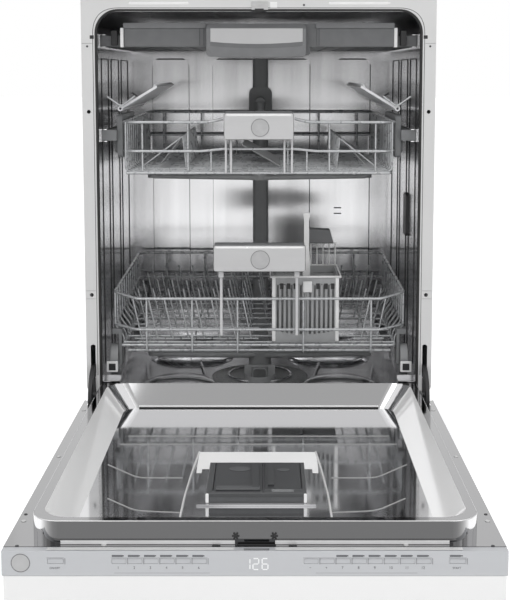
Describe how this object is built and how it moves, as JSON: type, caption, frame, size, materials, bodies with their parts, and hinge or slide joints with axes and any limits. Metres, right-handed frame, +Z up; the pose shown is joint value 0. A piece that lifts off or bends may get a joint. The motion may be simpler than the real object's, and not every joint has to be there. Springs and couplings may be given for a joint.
{
  "type": "built-in dishwasher",
  "caption": "Fully integrated built-in dishwasher, door open and racks in: steel tub, cutlery tray, wire racks, spray arms, dispenser, top control strip and furniture panel.",
  "frame": {"origin": "middle of the footprint on the floor, with the door open: halfway between the cabinet's back and the open door's front edge", "axes": "+Z up, +Y from the open door towards the cabinet's back, +X to the right of someone facing the machine"},
  "size_m": [0.598, 1.228, 0.815],
  "materials": {
    "tub_steel": "polished stainless sheet",
    "frame_grey": "satin light grey",
    "seal": "soft",
    "casing_steel": "satin",
    "base_plastic": "matte",
    "foot_plastic": "matte",
    "plated_steel": "zinc plated",
    "sump_plastic": "matte",
    "filter_grey": "satin",
    "pump_case": "satin",
    "duct_grey": "matte",
    "rail_steel": "polished",
    "runner_plastic": "matte",
    "liner_steel": "polished stainless sheet",
    "door_steel": "satin",
    "panel_white": "smooth white lacquer on board",
    "strip_silver": "silver",
    "board_dark": "matte",
    "dispenser_grey": "satin",
    "latch_dark": "matte",
    "screw_steel": "satin",
    "lid_grey": "satin",
    "tray_grey": "matte",
    "handle_grey": "satin",
    "rack_wire": "nylon coated",
    "arm_grey": "satin",
    "shelf_grey": "satin",
    "wheel_grey": "matte",
    "basket_grey": "satin",
    "key_silver": "silver"
  },
  "bodies": {
    "cabinet": {"tub": "tub_steel", "front_frame": "frame_grey", "door_gasket": "seal", "outer_panels": "casing_steel", "base_tray": "base_plastic", "levelling_feet": "foot_plastic", "latch_striker": "plated_steel", "hinge_brackets": "plated_steel", "balance_springs": "plated_steel", "sump": "sump_plastic", "filter_plate": "filter_grey", "circulation_pump": "pump_case", "drain_pump": "pump_case", "inlet_valve": "pump_case", "water_duct": "duct_grey", "rack_rails": "rail_steel"},
    "door": {"door_liner": "liner_steel", "door_shell": "door_steel", "front_panel": "panel_white", "control_fascia": "strip_silver", "control_board": "board_dark", "dispenser_housing": "dispenser_grey", "door_latch": "latch_dark", "hinge_arms": "plated_steel", "liner_screws": "screw_steel"},
    "detergent_lid": {"detergent_lid": "lid_grey"},
    "rinse_aid_lid": {"rinse_aid_lid": "lid_grey"},
    "cutlery_tray": {"cutlery_tray": "tray_grey", "tray_handle": "handle_grey"},
    "upper_rack": {"upper_rack": "rack_wire", "upper_runners": "runner_plastic", "upper_handle": "handle_grey", "upper_feed_pipe": "duct_grey"},
    "upper_spray_arm": {"upper_spray_arm": "arm_grey"},
    "cup_shelf_left": {"cup_shelf_left": "shelf_grey"},
    "cup_shelf_right": {"cup_shelf_right": "shelf_grey"},
    "lower_rack": {"lower_rack": "rack_wire", "lower_handle": "handle_grey", "wheel_carriers": "runner_plastic"},
    "front_wheels": {"front_wheels": "wheel_grey"},
    "rear_wheels": {"rear_wheels": "wheel_grey"},
    "cutlery_basket": {"cutlery_basket": "basket_grey"},
    "lower_spray_arm": {"lower_spray_arm": "arm_grey"},
    "filter_cup": {"filter_cup": "filter_grey"},
    "power_key": {"power_key": "key_silver"},
    "program_key_1": {"program_key_1": "key_silver"},
    "program_key_2": {"program_key_2": "key_silver"},
    "program_key_3": {"program_key_3": "key_silver"},
    "program_key_4": {"program_key_4": "key_silver"},
    "program_key_5": {"program_key_5": "key_silver"},
    "program_key_6": {"program_key_6": "key_silver"},
    "option_key_1": {"option_key_1": "key_silver"},
    "option_key_2": {"option_key_2": "key_silver"},
    "option_key_3": {"option_key_3": "key_silver"},
    "option_key_4": {"option_key_4": "key_silver"},
    "option_key_5": {"option_key_5": "key_silver"},
    "option_key_6": {"option_key_6": "key_silver"},
    "option_key_7": {"option_key_7": "key_silver"},
    "option_key_8": {"option_key_8": "key_silver"},
    "start_key": {"start_key": "key_silver"}
  },
  "joints": [
    {"name": "door_swing", "type": "hinge", "parent": "cabinet", "child": "door", "pos_m": [0, 0.063, 0.135], "axis": [1, 0, 0], "range_deg": [-90, 0], "stiffness_Nm_per_rad": 12, "springref_deg": -90},
    {"name": "detergent_lid_turn", "type": "hinge", "parent": "door", "child": "detergent_lid", "pos_m": [-0.056, -0.375, 0.138], "axis": [0, -1, 0], "range_deg": [0, 100]},
    {"name": "rinse_lid_turn", "type": "hinge", "parent": "door", "child": "rinse_aid_lid", "pos_m": [0.059, -0.371, 0.138], "axis": [0, 1, 0], "range_deg": [0, 100]},
    {"name": "cutlery_tray_slide", "type": "slide", "parent": "cabinet", "child": "cutlery_tray", "axis": [0, -1, 0], "range_m": [0, 0.4]},
    {"name": "middle_rack_slide", "type": "slide", "parent": "cabinet", "child": "upper_rack", "axis": [0, -1, 0], "range_m": [0, 0.45]},
    {"name": "middle_spray_turn", "type": "hinge", "parent": "upper_rack", "child": "upper_spray_arm", "pos_m": [0, 0.32, 0.488], "axis": [0, 0, 1], "continuous": true},
    {"name": "cup_shelf_left_turn", "type": "hinge", "parent": "upper_rack", "child": "cup_shelf_left", "pos_m": [-0.24, 0.294, 0.63], "axis": [0, -1, 0], "range_deg": [0, 50]},
    {"name": "cup_shelf_right_turn", "type": "hinge", "parent": "upper_rack", "child": "cup_shelf_right", "pos_m": [0.24, 0.294, 0.63], "axis": [0, 1, 0], "range_deg": [0, 50]},
    {"name": "bottom_rack_slide", "type": "slide", "parent": "cabinet", "child": "lower_rack", "axis": [0, -1, 0], "range_m": [0, 0.42]},
    {"name": "wheel_front_roll", "type": "hinge", "parent": "lower_rack", "child": "front_wheels", "pos_m": [0, 0.128, 0.1867], "axis": [1, 0, 0], "range_deg": [-5, 1010]},
    {"name": "wheel_rear_roll", "type": "hinge", "parent": "lower_rack", "child": "rear_wheels", "pos_m": [0, 0.498, 0.1867], "axis": [1, 0, 0], "range_deg": [-5, 1010]},
    {"name": "basket_lift", "type": "slide", "parent": "lower_rack", "child": "cutlery_basket", "axis": [0, 0, 1], "range_m": [0, 0.045]},
    {"name": "bottom_spray_turn", "type": "hinge", "parent": "cabinet", "child": "lower_spray_arm", "pos_m": [0, 0.32, 0.142], "axis": [0, 0, 1], "continuous": true},
    {"name": "filter_cup_turn", "type": "hinge", "parent": "cabinet", "child": "filter_cup", "pos_m": [0, 0.26, 0.108], "axis": [0, 0, 1], "range_deg": [0, 45]},
    {"name": "press_power_key", "type": "slide", "parent": "door", "child": "power_key", "axis": [0, 1, 0], "range_m": [0, 0.001], "stiffness_N_per_m": 300, "springref_m": -0.001},
    {"name": "press_program_key_1", "type": "slide", "parent": "door", "child": "program_key_1", "axis": [0, 1, 0], "range_m": [0, 0.001], "stiffness_N_per_m": 300, "springref_m": -0.001},
    {"name": "press_program_key_2", "type": "slide", "parent": "door", "child": "program_key_2", "axis": [0, 1, 0], "range_m": [0, 0.001], "stiffness_N_per_m": 300, "springref_m": -0.001},
    {"name": "press_program_key_3", "type": "slide", "parent": "door", "child": "program_key_3", "axis": [0, 1, 0], "range_m": [0, 0.001], "stiffness_N_per_m": 300, "springref_m": -0.001},
    {"name": "press_program_key_4", "type": "slide", "parent": "door", "child": "program_key_4", "axis": [0, 1, 0], "range_m": [0, 0.001], "stiffness_N_per_m": 300, "springref_m": -0.001},
    {"name": "press_program_key_5", "type": "slide", "parent": "door", "child": "program_key_5", "axis": [0, 1, 0], "range_m": [0, 0.001], "stiffness_N_per_m": 300, "springref_m": -0.001},
    {"name": "press_program_key_6", "type": "slide", "parent": "door", "child": "program_key_6", "axis": [0, 1, 0], "range_m": [0, 0.001], "stiffness_N_per_m": 300, "springref_m": -0.001},
    {"name": "press_option_key_1", "type": "slide", "parent": "door", "child": "option_key_1", "axis": [0, 1, 0], "range_m": [0, 0.001], "stiffness_N_per_m": 300, "springref_m": -0.001},
    {"name": "press_option_key_2", "type": "slide", "parent": "door", "child": "option_key_2", "axis": [0, 1, 0], "range_m": [0, 0.001], "stiffness_N_per_m": 300, "springref_m": -0.001},
    {"name": "press_option_key_3", "type": "slide", "parent": "door", "child": "option_key_3", "axis": [0, 1, 0], "range_m": [0, 0.001], "stiffness_N_per_m": 300, "springref_m": -0.001},
    {"name": "press_option_key_4", "type": "slide", "parent": "door", "child": "option_key_4", "axis": [0, 1, 0], "range_m": [0, 0.001], "stiffness_N_per_m": 300, "springref_m": -0.001},
    {"name": "press_option_key_5", "type": "slide", "parent": "door", "child": "option_key_5", "axis": [0, 1, 0], "range_m": [0, 0.001], "stiffness_N_per_m": 300, "springref_m": -0.001},
    {"name": "press_option_key_6", "type": "slide", "parent": "door", "child": "option_key_6", "axis": [0, 1, 0], "range_m": [0, 0.001], "stiffness_N_per_m": 300, "springref_m": -0.001},
    {"name": "press_option_key_7", "type": "slide", "parent": "door", "child": "option_key_7", "axis": [0, 1, 0], "range_m": [0, 0.001], "stiffness_N_per_m": 300, "springref_m": -0.001},
    {"name": "press_option_key_8", "type": "slide", "parent": "door", "child": "option_key_8", "axis": [0, 1, 0], "range_m": [0, 0.001], "stiffness_N_per_m": 300, "springref_m": -0.001},
    {"name": "press_start_key", "type": "slide", "parent": "door", "child": "start_key", "axis": [0, 1, 0], "range_m": [0, 0.001], "stiffness_N_per_m": 300, "springref_m": -0.001}
  ],
  "couplings": [
    {"joint": "wheel_front_roll", "follows": "bottom_rack_slide", "rad_per_m": 41.667},
    {"joint": "wheel_rear_roll", "follows": "bottom_rack_slide", "rad_per_m": 41.667}
  ]
}
